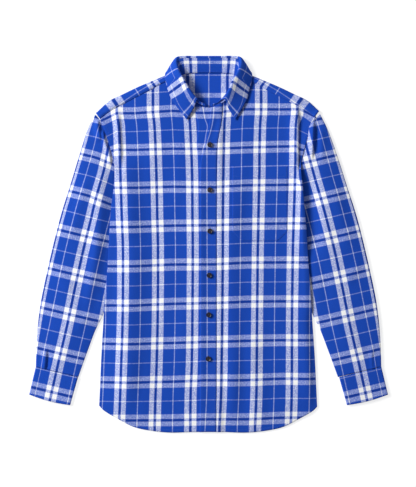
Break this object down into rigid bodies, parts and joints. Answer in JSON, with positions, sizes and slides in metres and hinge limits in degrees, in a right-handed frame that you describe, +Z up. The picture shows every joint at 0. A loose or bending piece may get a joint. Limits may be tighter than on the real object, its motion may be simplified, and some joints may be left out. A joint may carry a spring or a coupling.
{
  "type": "flannel shirt",
  "caption": "Plaid flannel shirt with a pointed collar, chest pocket and buttoned placket, laid flat on its back with its sleeves down.",
  "frame": {"origin": "on the surface, under the middle of the whole garment", "axes": "+Z up off the surface and out of the shirt's front, +Y from the hem to the collar, +X towards the wearer's left side"},
  "size_m": [0.7768, 0.8151, 0.0272],
  "materials": {
    "flannel": "brushed cotton flannel, blue ground with a white and lavender check",
    "button": "satin dark brown"
  },
  "bodies": {
    "root": {"back": "flannel", "yoke": "flannel", "front_right": "flannel", "front_left": "flannel", "band_under": "flannel", "band_top": "flannel", "pocket": "flannel", "sleeve_right": "flannel", "sleeve_left": "flannel", "cuff_right": "flannel", "cuff_left": "flannel", "collar_stand": "flannel", "collar_leaf": "flannel", "button_1": "button", "button_2": "button", "button_3": "button", "button_4": "button", "button_5": "button", "button_6": "button"}
  },
  "joints": []
}
